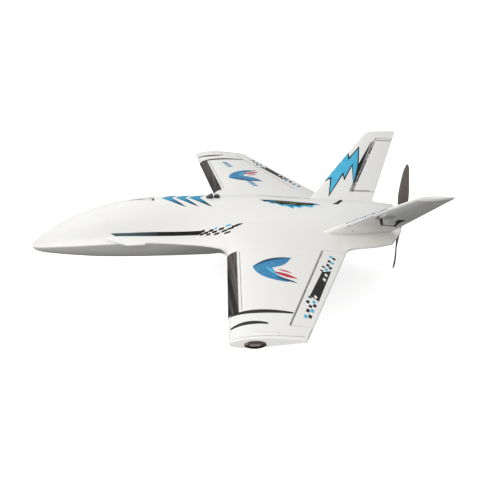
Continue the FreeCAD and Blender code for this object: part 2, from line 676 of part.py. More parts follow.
# ---------------------------------------------------------------- body pieces
def body():
    blank = body_blank()
    lower = blank.common(below_edge())
    upper = blank.cut(below_edge())
    bay, tube = bay_void(), tunnel()
    skid = belly_skid(lower)
    tail_spars = [tail_spar(0.0), mirrored(tail_spar(0.0))]
    inside = [bay, tube, motor_recess(), firewall_slot(), skid, esc_room()] + tail_spars + spar_bores()
    hull = biggest(cut_all(lower, inside))
    hatch_room = hatch_outline(HATCH_GAP).common(above_seat(0.0))
    magnets = hatch_magnets()
    wedge, keeper = catch_pieces()
    deck = biggest(cut_all(upper, inside + [hatch_room, deck_vent(), keeper] + magnets[:2]))
    hatch = upper.common(hatch_outline(0.0)).common(above_seat(HATCH_GAP))
    hatch = cut_all(hatch, [bay, *intake_duct(), wedge] + magnets[2:])
    save("fuselage_hull", hull)
    save("fuselage_deck", deck)
    save("hatch", biggest(hatch))
    save("hatch_catch", wedge)
    save("hatch_catch_keeper", keeper)
    save("belly_skid", skid)
    save("hatch_magnets_deck", Part.makeCompound(magnets[:2]))
    save("hatch_magnets_lid", Part.makeCompound(magnets[2:]))
    return blank


# ---------------------------------------------------------------- power train
def motor():
    plate = box(FIREWALL_X - 3, FIREWALL_X, -19, 19, MOTOR_Z - 19, MOTOR_Z + 19)
    hole = cylinder((FIREWALL_X - 4, 0, MOTOR_Z), (1, 0, 0), 4.0, 6)
    save("motor_mount", plate.cut(hole))
    x = FIREWALL_X - 3
    base = cylinder((x, 0, MOTOR_Z), (-1, 0, 0), 12.0, 3.0)
    core = cylinder((x, 0, MOTOR_Z), (-1, 0, 0), 5.5, 21.0)
    teeth = []
    for i in range(12):
        arm = box(x - 18, x - 6, -1.2, 1.2, MOTOR_Z + 4, MOTOR_Z + 11.8)
        teeth.append(arm.rotated(V(0, 0, MOTOR_Z), V(1, 0, 0), 30 * i))
    ring = cylinder((x - 6, 0, MOTOR_Z), (-1, 0, 0), 9.5, 12.0)
    bore = cylinder((x + 1, 0, MOTOR_Z), (-1, 0, 0), 1.56, 30)
    save("motor_stator", fuse([base, core, ring] + teeth).cut(bore))
    can = cylinder((x - 4, 0, MOTOR_Z), (-1, 0, 0), MOTOR_R, 21.0)
    inner = cylinder((x - 3, 0, MOTOR_Z), (-1, 0, 0), 12.4, 19.0)
    vents = [cylinder((x - 20, 8.6 * math.cos(a), MOTOR_Z + 8.6 * math.sin(a)), (-1, 0, 0), 2.4, 8)
             for a in [math.pi / 3 * i for i in range(6)]]
    can = can.cut(Part.makeCompound([inner] + vents))
    shaft = cylinder((x - 0.5, 0, MOTOR_Z), (-1, 0, 0), 1.5, 24)
    collet = cylinder((x - 24.9, 0, MOTOR_Z), (-1, 0, 0), 6.0, 2.5)
    stud = cylinder((x - 24, 0, MOTOR_Z), (-1, 0, 0), 2.5, 22.0)
    save("motor_bell", fuse([can, shaft, collet, stud]))


def blade_chord(share):
    return table([(0.07, 9.5), (0.15, 13.5), (0.3, 23), (0.45, 28.5), (0.6, 28), (0.75, 24.5), (0.88, 18.5),
                  (0.96, 12.5), (1.0, 6.5)])(share)


def blade():
    """One blade standing up from the shaft; its leading edge is the forward one."""
    wires = []
    for share in (0.07, 0.13, 0.22, 0.34, 0.47, 0.6, 0.72, 0.83, 0.92, 0.97, 1.0):
        r, chord = share * PROP_R, blade_chord(share)
        pitch = min(math.atan2(PROP_PITCH, 2 * math.pi * r), math.radians(48))
        t = max(0.085 * chord, 1.1) + 3.0 * max(0.0, 0.25 - share) / 0.25
        along = V(-math.sin(pitch), math.cos(pitch), 0)
        out = V(math.cos(pitch), math.sin(pitch), 0)
        centre = V(0, 2.5 * max(share - 0.8, 0) * 10, r)
        pts = []
        for s, h in ((0, 0), (0.06, 0.42), (0.25, 0.92), (0.5, 1.0), (0.78, 0.66), (1.0, 0.22), (1.0, 0.0),
                     (0.78, 0.1), (0.5, 0.16), (0.25, 0.06), (0.06, -0.12)):
            pts.append(centre + along * (s - 0.5) * chord + out * (h - 0.45) * t)
        curve = Part.BSplineCurve()
        curve.interpolate(pts[:6])
        back = Part.BSplineCurve()
        back.interpolate(pts[6:] + [pts[0]])
        wires.append(Part.Wire([curve.toShape(), Part.makeLine(pts[5], pts[6]), back.toShape()]))
    return loft(wires)


def propeller():
    one = blade()
    other = one.rotated(V(0, 0, 0), V(1, 0, 0), 180)
    hub = cylinder((4.6, 0, 0), (-1, 0, 0), 7.5, 9.2)
    shape = fuse([hub, one, other]).cut(cylinder((6, 0, 0), (-1, 0, 0), 2.5, 12))
    shape = shape.rotated(V(0, 0, 0), V(1, 0, 0), -PROP_REST)
    shape = shape.translated(V(PROP_X, 0, MOTOR_Z))
    save("propeller", shape)
    points = [(5.2 * math.cos(math.pi / 3 * i), 5.2 * math.sin(math.pi / 3 * i)) for i in range(6)]
    x = PROP_X - 4.6
    nut = prism([(x - 1.2, y, MOTOR_Z + z) for y, z in points], (-4.4, 0, 0))
    washer = cylinder((x, 0, MOTOR_Z), (-1, 0, 0), 6.2, 1.2)
    save("prop_nut", fuse([nut, washer]).cut(cylinder((x + 2, 0, MOTOR_Z), (-1, 0, 0), 2.5, 12)))


# ---------------------------------------------------------------- equipment
def equipment():
    floor = 8.0
    tray = box(34, 168, -19, 19, floor, floor + 2)
    slots = [box(x, x + 3, y - 1, y + 9, floor - 1, floor + 3) for x in (78, 128) for y in (-18, 10)]
    save("equipment_tray", tray.cut(Part.makeCompound(slots)))
    pack = box(72, 146, -17, 17, floor + 2, floor + 24)
    pack = pack.makeFillet(3.0, [e for e in pack.Edges if abs(e.BoundBox.XLength - 74) < 1])
    save("battery", pack)
    outer = box(94, 112, -18.4, 18.4, floor + 2, floor + 25.4)
    strap = outer.cut(box(90, 116, -17.2, 17.2, floor, floor + 24.2))
    save("battery_strap", strap)
    save("receiver", box(36, 64, -13, 13, floor + 2, floor + 14))
    save("speed_controller", box(-56, -10, -12.5, 12.5, WING_Z + 6, WING_Z + 15))
    for name, rod, (x, r, half) in zip(("wing_spar_front", "wing_spar_rear"), spar_bores(), SPARS):
        save(name, rod.cut(cylinder((x, -half - 1, WING_Z + 1), (0, 1, 0), r - 1.0, 2 * half + 2)))


blank = body()
save_pair("nose_strake", strake(blank))
wings()
tails(blank)
motor()
propeller()
equipment()
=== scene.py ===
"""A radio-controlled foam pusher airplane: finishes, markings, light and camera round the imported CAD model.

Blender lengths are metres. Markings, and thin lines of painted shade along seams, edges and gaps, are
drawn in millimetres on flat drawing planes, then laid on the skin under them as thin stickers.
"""
import math

import bmesh
import bpy
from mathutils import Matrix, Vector
from mathutils.bvhtree import BVHTree


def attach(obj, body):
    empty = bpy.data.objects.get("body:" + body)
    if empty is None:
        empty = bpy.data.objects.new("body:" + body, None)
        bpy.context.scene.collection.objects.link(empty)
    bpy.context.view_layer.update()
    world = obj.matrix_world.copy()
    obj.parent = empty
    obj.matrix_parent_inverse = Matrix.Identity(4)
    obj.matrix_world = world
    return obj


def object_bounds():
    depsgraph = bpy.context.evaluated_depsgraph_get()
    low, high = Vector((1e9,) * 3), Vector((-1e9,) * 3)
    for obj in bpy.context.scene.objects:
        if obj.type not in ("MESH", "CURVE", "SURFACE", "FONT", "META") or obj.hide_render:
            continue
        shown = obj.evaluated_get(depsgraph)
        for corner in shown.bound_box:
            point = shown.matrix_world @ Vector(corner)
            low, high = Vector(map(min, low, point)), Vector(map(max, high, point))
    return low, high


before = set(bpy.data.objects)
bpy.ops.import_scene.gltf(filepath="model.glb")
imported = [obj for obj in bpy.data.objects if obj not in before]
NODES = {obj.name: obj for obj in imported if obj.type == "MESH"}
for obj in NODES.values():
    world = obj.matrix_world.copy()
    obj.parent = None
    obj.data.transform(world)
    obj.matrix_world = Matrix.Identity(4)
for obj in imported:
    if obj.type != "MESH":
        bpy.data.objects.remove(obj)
CAD_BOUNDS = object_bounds()
MM = 0.001

# ---------------------------------------------------------------- camera and light
CAMERA_AZIMUTH = 174.756      # degrees round from the starboard side, over the nose to the port side
CAMERA_ELEVATION = 20.745
CAMERA_ROLL = 0.318
CAMERA_TARGET = Vector((-0.03231, 0.0, 0.01567))
CAMERA_DISTANCE = 1.63625
CAMERA_REACH = 50.0           # far clipping distance
LENS = 75.0                   # millimetres
SENSOR = 36.0

LAMPS = (                     # name, place, size and power
    ("key", (1.1, 0.9, 0.9), 1.0, 12.6),
    ("side", (0.0, 1.5, 0.3), 0.8, 0.8),
    ("low", (-0.05, 0.95, 0.0), 0.4, 1.0),
    ("far", (0.3, -1.2, 1.0), 0.8, 3.2),
)
SKY_HIGH, SKY_LOW = 0.70, 0.13            # strength above and below the horizon
SKY_BLEND = (-0.20, 0.30)                 # heights between which one turns into the other
FLOOR_SIZE = 14.0
FLOOR_DROP = 0.002                        # floor under the lowest blade tip
FLOOR_GLOW = 0.60

# ---------------------------------------------------------------- stickers, in millimetres
STICKER_LIFT = 0.12           # from the skin to the outer face of the first layer
STICKER_THICKNESS = 0.10
STICKER_PITCH = 2.5           # how finely a sticker is cut to follow the skin
FIRST_CUT = 0.37              # share of the pitch to the first cut, so that cuts miss the corners
PLANE_REACH = 300.0           # from a drawing plane out to where its rays start
SHARP_ANGLE = math.radians(40)
INK_GLOSS = 0.12

TAIL_CANT = math.radians(51.2)            # of the tail panels, from upright
TAIL_FOOT = (79.0, 56.0)                  # y, z of the tail panel's root line
HINGE_X, HINGE_SWEEP = -227.4, -0.504     # the tail's hinge line: x at its foot, and x per span
HINGE_COS = 0.893                         # cosine of that sweep

# ---------------------------------------------------------------- markings on their drawing planes
CHEVRON_AXIS = 2.5                        # y of the arrow heads' middle line
CHEVRON_BULGES = (2.5, 1.5)               # how far an arm's outer and inner edges bow
CHEVRONS = (                  # x of the tip, x of the notch, and the arm's end
    (94.0, 77.5, (55.0, 26.0)),
    (72.0, 56.0, (35.0, 26.0)),
    (51.0, 33.0, (14.0, 27.0)),
)
# painted shade: a grey line standing in for the shade on the intake duct's far, starboard wall
INTAKE_SHADE_LINE = ((146.0, -1.6), (109.5, -10.4), 0.9)    # two ends and width, as for every strip below

RIDGE_DROPS = (("port", 1, -2.0), ("starboard", -1, 12.0))    # how much lower each patch sits
RIDGE_OUTER = (               # x, y from the front tip to the rear one
    (-60.0, 9.0),
    (-70.0, 16.5),
    (-82.0, 21.0),
    (-97.0, 26.0),
    (-114.0, 30.5),
    (-126.0, 28.0),
    (-146.0, 24.5),
    (-162.0, 16.0),
)
RIDGE_INNER = [(-150.0, 10.0), (-118.0, 8.0), (-84.0, 7.0)]   # and back to the front
RIDGE_NOTCH = 3.6
NOTCH_SHARE = 0.65            # where a notch lies between two points, from the second one
CORE_LENGTH, CORE_SHIFT = 0.96, -4.0      # the core is the patch, shrunk along x
CORE_WIDTH, CORE_MIDDLE = 0.74, 11.0      # and across it, about that y
RIDGE_STREAKS = (             # x, y, length and how far each side bulges
    (-84.0, 13.0, 22.0, 1.4),
    (-98.0, 16.5, 26.0, 1.6),
    (-112.0, 12.0, 24.0, 1.4),
    (-126.0, 17.5, 18.0, 1.3),
)
STREAK_FALL, FLECK_FALL = 2.0, 3.0        # how much nearer the ridge their rear ends are
RIDGE_FLECKS = (              # x, y and length
    (-76.0, 13.5, 14.0),
    (-104.0, 22.5, 16.0),
    (-132.0, 22.0, 18.0),
)
FLECK_BULGE = 1.1

FLANK_BAR = (
    (-176.0, 10.2),
    (-168.0, 5.6),
    (-114.0, 2.4),
    (-55.0, -0.7),
    (-38.0, -2.0),
    (-28.0, 6.2),
    (-55.0, 6.9),
    (-114.0, 8.8),
    (-150.0, 9.4),
)
FLANK_RUN = (1.0, 0.22)       # direction of the checks' long sides
FLANK_SLANT = 1.4
FLANK_CHECKS = (              # x, height on the plane and length
    (33.0, -1.2, 6.3),
    (31.0, 5.0, 6.3),
    (26.0, 1.4, 6.8),
    (23.0, -3.0, 6.8),
    (18.0, 4.9, 7.3),
    (13.0, 1.3, 7.8),
    (10.0, -4.2, 8.3),
    (2.0, 5.8, 8.8),
    (-2.0, -0.1, 9.3),
    (-6.0, -6.0, 9.8),
    (-12.0, 3.8, 10.3),
    (-19.0, 8.5, 11.3),
)
FLANK_CHECK_WIDTH = 4.4
FLANK_DART = ((17.0, 9.2), (32.5, 13.4), 2.0, 2.0)    # two tips and side bulges, as for every leaf
FLANK_BLUES = (
    (10.5, 8.3, 4.0),
    (-9.0, 11.5, 8.0),
)
FLANK_BLUE_WIDTH = 3.4

TIP_STRIPES = (               # two ends, width at start, middle and end, and bulge
    ((17.5, 355.6), (-69.3, 356.4), (4.0, 9.8, 4.2), 1.6),
    ((15.0, 391.5), (-33.0, 387.6), (4.4, 8.8, 4.6), 4.8),
)
# painted shade: a grey line for the shade in the seam behind the leading-edge guard
GUARD_SEAM_SHADE = ((-17.5, 154.0), (-3.4, 347.0), 0.9)
# painted shade: grey lines for the shade in the seams round the tip moulding
TIP_SEAM_SHADE = ((16.0, 421.0), (-76.0, 415.0), -2.2)      # two ends and bulge, as for every bow
SEAM_SHADE_WIDTH = 0.7
TIP_SHADE_LINES = (
    ((-12.0, 411.4), (-46.0, 411.4), 0.7),
    ((-88.6, 393.0), (-79.0, 419.0), 0.8),
)
WAVE_BOWS = (                 # the four sides of the wave
    ((-31.0, 213.0), (-90.0, 187.0), 9.0),
    ((-86.0, 194.0), (-58.0, 221.0), 5.0),
    ((-62.0, 242.0), (-84.0, 263.0), -3.0),
    ((-80.0, 268.0), (-31.0, 213.0), 15.0),
)
WAVE_NAVY = (                 # leaves
    ((-33.0, 212.5), (-91.0, 187.0), 10.5, -3.5),
    ((-58.0, 250.0), (-88.0, 269.0), 2.8, 2.8),
)
WAVE_SKY = (
    ((-50.0, 218.0), (-62.0, 246.0), 3.4, 3.0),
)
WAVE_RED = (
    ((-58.0, 234.0), (-90.0, 256.0), 4.0, 4.6),
    ((-66.0, 226.0), (-84.0, 238.0), 1.8, 2.2),
)
DASH_YS = (-325.0, -315.0, -305.0, -295.0, -195.0, -185.0, -175.0, -165.0, -155.0)
DASH_LINE = ((-31.0, -329.0), (-75.0, -145.0))        # their row's two ends
DASH_RUN = (-0.23, 0.97)
DASH_SIZE = (7.0, 9.0, 1.5)               # length, width and slant

AILERON_RUN = (0.323, 0.946)
AILERON_BAR = ((-129.0, 225.0), (-143.5, 219.0), (-109.5, 317.0), (-99.5, 303.0))
# painted shade: a grey line for the shade on the blunt trailing edge
AILERON_EDGE_SHADE = ((-176.2, 154.0), (-91.2, 386.0), 0.8)
AILERON_CHECK = (4.6, 1.0)                # width and slant
AILERON_BREAK = (7.5, 4.2, 2.0)           # length, width and slant
AILERON_BLACKS = (            # x, y and length
    (-155.0, 177.0, 7.0),
    (-146.0, 187.0, 7.0),
    (-141.7, 200.6, 8.0),
    (-134.0, 208.0, 5.0),
    (-144.0, 209.0, 8.0),
    (-129.5, 221.0, 5.0),
    (-99.0, 307.0, 5.0),
    (-94.0, 321.0, 8.0),
    (-102.0, 330.0, 8.0),
    (-95.7, 333.0, 7.0),
    (-90.5, 345.6, 9.0),
    (-91.0, 361.0, 9.0),
)
AILERON_BLUES = (
    (-151.4, 171.6, 7.0),
    (-149.8, 192.0, 7.0),
    (-137.0, 215.5, 8.0),
    (-102.5, 320.0, 7.0),
    (-96.4, 345.0, 9.0),
    (-85.0, 362.0, 9.0),
)
AILERON_WHITES = (            # x and y of the breaks in the bar
    (-133.5, 234.0),
    (-128.5, 249.0),
    (-107.0, 305.0),
)

BOLT = [
    (-189.0, 37.0),
    (-234.6, 92.6),
    (-234.3, 77.0),
    (-254.6, 101.0),
    (-248.0, 62.0),
    (-237.0, 23.0),
    (-240.6, 69.7),
    (-223.0, 40.0),
    (-222.0, 52.0),
    (-193.0, 7.0),
    (-201.0, 43.0),
]
BOLT_BORDER = 2.3
MITRE_LIMIT = 3.0             # a grown corner goes out by no more than this many times the growth
HINGE_BAND = ((-248.5, 64.0), (-280.5, 117.0), (-255.5, 63.0), (-236.0, 24.5))
HATCHING = 34                 # strokes along the hinge
HATCHING_START, HATCHING_SPAN = 12.0, 103.0
HATCHING_AHEAD = (2.0, 5.6)   # the strokes' ends ahead of the hinge line
HATCHING_LEAN, HATCHING_WIDTH = 2.4, 1.3
HINGE_EDGE = (10.5, 117.5)    # its two ends along the span
HINGE_EDGE_AHEAD, HINGE_EDGE_WIDTH = 2.2, 0.8
# painted shade: black lines for the shade in the end gaps between each moving surface and its panel
RUDDERVATOR_END_SHADE = (
    ((-289.5, 118.6), (-317.0, 118.6), 1.0),
    ((-236.5, 13.6), (-264.0, 13.6), 1.0),
)
TAIL_PIPS = ((189.7, 33.6), (198.9, 16.2))
PIP_RADIUS = 1.3
TAIL_LINE = ((185.4, 22.4), (219.0, 73.1), 0.6)

# ---------------------------------------------------------------- added pieces, in millimetres
# painted shade: dark slats in the intake's throat, standing in for the dark of the open throat
SHADE_SLAT_X, SHADE_SLAT_Z = 106.2, 86.6          # rear slat, and the slats' underside
SHADE_SLAT_COUNT, SHADE_SLAT_PITCH = 3, 0.95
SHADE_SLAT_HALF = 9.3
SHADE_SLAT_SECTION = ((0.0, 0.0), (0.75, 0.25), (0.75, 1.1), (0.0, 0.85))    # section of one slat
CORD_R = 1.0
CORD_SIDES = 12
CORD_RUNS = ((11.8, 18.3), (33.2, 77.2), (92.0, 105.8))   # along the span, clear of the knuckles
LOUVRE_THICKNESS = 1.2
LOUVRE = (                    # x, y, z of the plate's top
    (-181.0, 8.4, 74.6),
    (-191.0, 8.4, 74.0),
    (-201.0, -8.4, 77.8),
    (-196.6, -8.4, 78.2),
)


# ---------------------------------------------------------------- finishes
class Finish:
    """A node material. Its patterns are placed by object coordinates, in metres."""

    def __init__(self, name, colour, roughness, metallic=0.0, **inputs):
        self.material = bpy.data.materials.new(name)
        self.material.use_nodes = True
        self.material.diffuse_color = (*colour, 1.0)
        self.nodes = self.material.node_tree.nodes
        self.shader = self.nodes["Principled BSDF"]
        self.set("Base Color", (*colour, 1.0))
        self.set("Roughness", roughness)
        self.set("Metallic", metallic)
        for key, value in inputs.items():
            self.set(key.replace("_", " "), value)
        self.place = self.add("ShaderNodeTexCoord").outputs["Object"]

    def set(self, socket, value, node=None):
        """Sets a socket to a number or colour, or links another node's output to it."""
        target = (node or self.shader).inputs[socket]
        if isinstance(value, bpy.types.NodeSocket):
            self.material.node_tree.links.new(value, target)
        else:
            target.default_value = value

    def add(self, kind, inputs=None, **properties):
        """Adds a node of that kind with its properties and inputs set."""
        node = self.nodes.new(kind)
        for key, value in properties.items():
            setattr(node, key, value)
        for key, value in (inputs or {}).items():
            self.set(key, value, node)
        return node

    def stretched(self, scale, turn=(0, 0, 0)):
        """Object coordinates scaled along each axis, for a pattern drawn out along one of them."""
        node = self.add("ShaderNodeMapping", {"Vector": self.place, "Scale": scale, "Rotation": turn})
        return node.outputs["Vector"]

    def noise(self, scale, detail=4.0, vector=None, roughness=0.55):
        inputs = {"Vector": vector or self.place, "Scale": scale, "Detail": detail, "Roughness": roughness}
        return self.add("ShaderNodeTexNoise", inputs).outputs["Fac"]

    def cells(self, scale, feature="F1", output="Distance", vector=None):
        inputs = {"Vector": vector or self.place, "Scale": scale}
        return self.add("ShaderNodeTexVoronoi", inputs, feature=feature).outputs[output]

    def bands(self, scale, direction, vector=None, distortion=0.0):
        inputs = {"Vector": vector or self.place, "Scale": scale, "Distortion": distortion}
        node = self.add("ShaderNodeTexWave", inputs, bands_direction=direction)
        return node.outputs["Fac"]

    def span(self, value, low, high, to_low=0.0, to_high=1.0):
        """The value with low to high mapped to to_low to to_high, and held at those ends."""
        inputs = {"Value": value, "From Min": low, "From Max": high, "To Min": to_low, "To Max": to_high}
        return self.add("ShaderNodeMapRange", inputs).outputs["Result"]

    def math(self, operation, first, second=0.5):
        """A sum on one or two numbers or outputs."""
        node = self.add("ShaderNodeMath", operation=operation)
        self.set(0, first, node)
        self.set(1, second, node)
        return node.outputs[0]

    def mix(self, share, first, second):
        """A colour between two, each a colour or an output."""
        node = self.add("ShaderNodeMix", data_type="RGBA")
        self.set(0, share, node)
        for slot, value in ((6, first), (7, second)):
            is_colour = not isinstance(value, bpy.types.NodeSocket)
            self.set(slot, (*value, 1.0) if is_colour else value, node)
        return node.outputs[2]

    def bump(self, height, distance, strength=1.0, under=None):
        """Adds a bump of that height in metres, over another one if there is one under it."""
        node = self.add("ShaderNodeBump", {"Height": height, "Distance": distance, "Strength": strength})
        if under is not None:
            self.set("Normal", under, node)
        self.set("Normal", node.outputs["Normal"])
        return node.outputs["Normal"]


def bead_foam():
    """Moulded bead foam: a tight skin of pressed beads, each a little different."""
    f = Finish("bead_foam", (0.86, 0.855, 0.838), 0.5, Specular_IOR_Level=0.4)
    tone = f.cells(330.0, output="Color")
    tone = f.add("ShaderNodeSeparateColor", {"Color": tone}).outputs[0]
    cloud = f.span(f.noise(9.0, 2.0), 0.3, 0.7)
    colour = f.mix(f.math("MULTIPLY", tone, 0.35), (0.835, 0.829, 0.800), (0.805, 0.799, 0.770))
    f.set("Base Color", f.mix(f.math("MULTIPLY", cloud, 0.25), colour, (0.820, 0.812, 0.780)))
    f.set("Roughness", f.span(f.noise(420.0, 3.0), 0.3, 0.7, 0.42, 0.56))
    edge = f.span(f.cells(330.0, "DISTANCE_TO_EDGE"), 0.0, 0.10)
    skin = f.bump(edge, 0.00004, 0.55)
    f.bump(f.noise(1500.0, 3.0), 0.00002, 0.4, skin)
    return f.material


def white_plastic():
    """Glossier white trim, with the slightly uneven gloss of a thin moulding."""
    f = Finish("white_plastic", (0.88, 0.875, 0.86), 0.34)
    f.set("Roughness", f.span(f.noise(260.0, 4.0), 0.3, 0.7, 0.28, 0.40))
    f.bump(f.noise(2600.0, 2.0), 0.00001, 0.5)
    return f.material


def guard_film():
    """Dark protective film over the leading edge, with the streaks of its rolling along the span."""
    f = Finish("edge_film", (0.055, 0.052, 0.048), 0.45, Specular_IOR_Level=0.3)
    streak = f.noise(1.0, 4.0, f.stretched((420.0, 5.0, 420.0)))
    broad = f.noise(1.0, 2.0, f.stretched((130.0, 2.0, 130.0)))
    share = f.span(f.math("ADD", f.math("MULTIPLY", streak, 0.5), f.math("MULTIPLY", broad, 0.6)), 0.46, 0.64)
    f.set("Base Color", f.mix(share, (0.0025, 0.0020, 0.0017), (0.062, 0.050, 0.042)))
    f.set("Specular IOR Level", f.span(share, 0.0, 1.0, 0.05, 0.30))
    f.set("Roughness", f.span(streak, 0.3, 0.7, 0.38, 0.54))
    f.bump(streak, 0.00004, 0.5)
    return f.material


def smoked_lens(name, deep, painted_glint):
    """Dark smoked lens; its colour lightens in ribbed spots, a painted glint of a reflector behind its
    surface.
    """
    f = Finish(name, deep, 0.12, Coat_Weight=1.0, Coat_Roughness=0.04, IOR=1.5)
    ribs = f.bands(260.0, "X", f.stretched((1.0, 1.0, 1.0), (0, 0, 0.6)), 0.6)
    glint_spots = f.span(f.noise(210.0, 3.0), 0.45, 0.62)
    # painted glint: the colour lightens where the ribs and the spots meet
    f.set("Base Color", f.mix(f.math("MULTIPLY", ribs, glint_spots), deep, painted_glint))
    f.set("Roughness", f.span(f.noise(600.0, 2.0), 0.3, 0.7, 0.08, 0.18))
    f.bump(ribs, 0.00006, 0.3)
    return f.material


def moulded(name, colour, roughness, grain=1900.0, depth=0.00002, vary=0.18):
    """Plain moulded plastic with a fine tool texture and a slight mottle."""
    f = Finish(name, colour, roughness)
    darker = tuple(c * (1.0 - vary) for c in colour)
    f.set("Base Color", f.mix(f.span(f.noise(120.0, 3.0), 0.35, 0.65), colour, darker))
    f.set("Roughness", f.span(f.noise(500.0, 3.0), 0.3, 0.7, roughness - 0.06, roughness + 0.08))
    f.bump(f.noise(grain, 3.0), depth, 0.6)
    return f.material


def filled_nylon():
    """Glass-filled nylon of a propeller: grey-brown, faint flow lines along the blade."""
    f = Finish("filled_nylon", (0.105, 0.094, 0.080), 0.42)
    flow = f.noise(1.0, 4.0, f.stretched((260.0, 260.0, 22.0)))
    f.set("Base Color", f.mix(f.span(flow, 0.35, 0.65), (0.076, 0.058, 0.046), (0.110, 0.086, 0.069)))
    f.set("Roughness", f.span(flow, 0.3, 0.7, 0.36, 0.52))
    grain = f.bump(f.noise(2400.0, 3.0), 0.00002, 0.5)
    f.bump(flow, 0.00003, 0.3, grain)
    return f.material


def metal(name, colour, roughness, stretch, vary=0.25):
    """Worked metal: tool marks run across the stretched direction."""
    f = Finish(name, colour, roughness, 1.0)
    marks = f.noise(1.0, 4.0, f.stretched(stretch))
    darker = tuple(c * (1.0 - vary) for c in colour)
    f.set("Base Color", f.mix(f.span(marks, 0.35, 0.65), colour, darker))
    f.set("Roughness", f.span(marks, 0.3, 0.7, roughness - 0.08, roughness + 0.12))
    f.bump(marks, 0.00002, 0.35)
    return f.material


def carbon_tube():
    """Pulled carbon tube: crossing tows under a clear resin."""
    f = Finish("carbon_tube", (0.02, 0.02, 0.022), 0.3, Coat_Weight=0.7, Coat_Roughness=0.12)
    one = f.bands(240.0, "DIAGONAL")
    two = f.bands(240.0, "DIAGONAL", f.stretched((1.0, -1.0, 1.0)))
    weave = f.math("MULTIPLY", one, two)
    f.set("Base Color", f.mix(weave, (0.012, 0.012, 0.013), (0.05, 0.05, 0.054)))
    f.bump(weave, 0.00005, 0.4)
    return f.material


def woven_strap():
    """Black webbing in a plain weave."""
    f = Finish("woven_strap", (0.02, 0.02, 0.024), 0.85, Sheen_Weight=0.4)
    warp = f.bands(420.0, "X")
    weft = f.bands(420.0, "Y")
    weave = f.math("MAXIMUM", warp, weft)
    f.set("Base Color", f.mix(weave, (0.010, 0.010, 0.012), (0.035, 0.035, 0.04)))
    f.bump(weave, 0.00015, 0.8)
    return f.material


def birch_ply():
    """Thin birch plywood: long grain on the face and darker flecks."""
    f = Finish("birch_ply", (0.60, 0.43, 0.25), 0.6)
    grain = f.noise(1.0, 6.0, f.stretched((14.0, 260.0, 260.0)))
    flecks = f.noise(1.0, 3.0, f.stretched((90.0, 900.0, 900.0)))
    wood = f.mix(f.span(grain, 0.35, 0.65), (0.66, 0.49, 0.30), (0.48, 0.33, 0.18))
    f.set("Base Color", f.mix(f.span(flecks, 0.6, 0.75, 0.0, 0.5), wood, (0.30, 0.19, 0.10)))
    f.bump(grain, 0.00006, 0.5)
    return f.material


def shrink_wrap(name, colour, second):
    """Heat-shrunk sleeve: gloss, drawn into shallow wrinkles."""
    f = Finish(name, colour, 0.28, Coat_Weight=0.3, Coat_Roughness=0.15)
    creases = f.noise(1.0, 3.0, f.stretched((45.0, 220.0, 120.0)))
    f.set("Base Color", f.mix(f.span(creases, 0.45, 0.6), colour, second))
    f.set("Roughness", f.span(creases, 0.3, 0.7, 0.22, 0.36))
    f.bump(creases, 0.0003, 0.35)
    return f.material


def sticker_ink(name, colour, second, roughness=0.5):
    """Printed vinyl: even ink with a faint mottle under a dull laminate."""
    f = Finish(name, colour, roughness, Specular_IOR_Level=INK_GLOSS)
    f.set("Base Color", f.mix(f.span(f.noise(60.0, 3.0), 0.35, 0.65), colour, second))
    f.set("Roughness", f.span(f.noise(700.0, 2.0), 0.3, 0.7, roughness - 0.05, roughness + 0.07))
    f.bump(f.noise(1800.0, 2.0), 0.00001, 0.4)
    return f.material


def fading_ink(name, axis, start, end, first, second):
    """Ink that fades from one colour to another along an object axis, the same on both sides."""
    f = Finish(name, first, 0.5, Specular_IOR_Level=INK_GLOSS)
    along = f.add("ShaderNodeSeparateXYZ", {"Vector": f.place}).outputs[axis]
    share = f.span(f.math("ABSOLUTE", along), start, end)
    speckle = f.math("MULTIPLY", f.span(f.noise(60.0, 3.0), 0.35, 0.65), 0.12)
    f.set("Base Color", f.mix(f.math("ADD", share, speckle), first, second))
    f.set("Roughness", f.span(f.noise(700.0, 2.0), 0.3, 0.7, 0.45, 0.57))
    f.bump(f.noise(1800.0, 2.0), 0.00001, 0.4)
    return f.material


FINISHES = {
    "foam_white": bead_foam(),
    "trim_white": white_plastic(),
    "guard_film": guard_film(),
    "lens_red": smoked_lens("red_lens", (0.016, 0.006, 0.006), (0.075, 0.018, 0.016)),
    "lens_green": smoked_lens("green_lens", (0.005, 0.016, 0.007), (0.02, 0.13, 0.035)),
    "nylon_white": moulded("natural_nylon", (0.78, 0.78, 0.74), 0.4),
    "horn_black": moulded("black_nylon", (0.018, 0.018, 0.020), 0.42),
    "catch_black": moulded("black_catch", (0.016, 0.015, 0.015), 0.36),
    "steel_wire": metal("drawn_wire", (0.42, 0.42, 0.42), 0.28, (60.0, 900.0, 900.0)),
    "servo_case": moulded("servo_shell", (0.012, 0.020, 0.045), 0.25),
    "carbon": carbon_tube(),
    "motor_shell": metal("anodised_shell", (0.075, 0.075, 0.080), 0.3, (900.0, 40.0, 40.0)),
    "motor_iron": metal("wound_stator", (0.55, 0.24, 0.09), 0.35, (700.0, 700.0, 60.0), 0.5),
    "mount_plate": metal("milled_plate", (0.50, 0.50, 0.51), 0.35, (60.0, 900.0, 60.0)),
    "prop_plastic": filled_nylon(),
    "nut_metal": metal("turned_nut", (0.30, 0.30, 0.31), 0.3, (900.0, 60.0, 60.0)),
    "strap": woven_strap(),
    "battery_wrap": shrink_wrap("battery_sleeve", (0.018, 0.040, 0.095), (0.030, 0.060, 0.130)),
    "electronics": shrink_wrap("black_sleeve", (0.016, 0.016, 0.017), (0.028, 0.028, 0.030)),
    "plywood": birch_ply(),
    "skid_plastic": moulded("skid_sheet", (0.74, 0.74, 0.72), 0.4, 900.0, 0.00004),
    "magnet": metal("nickel_plate", (0.62, 0.61, 0.58), 0.2, (400.0, 400.0, 400.0), 0.1),
}
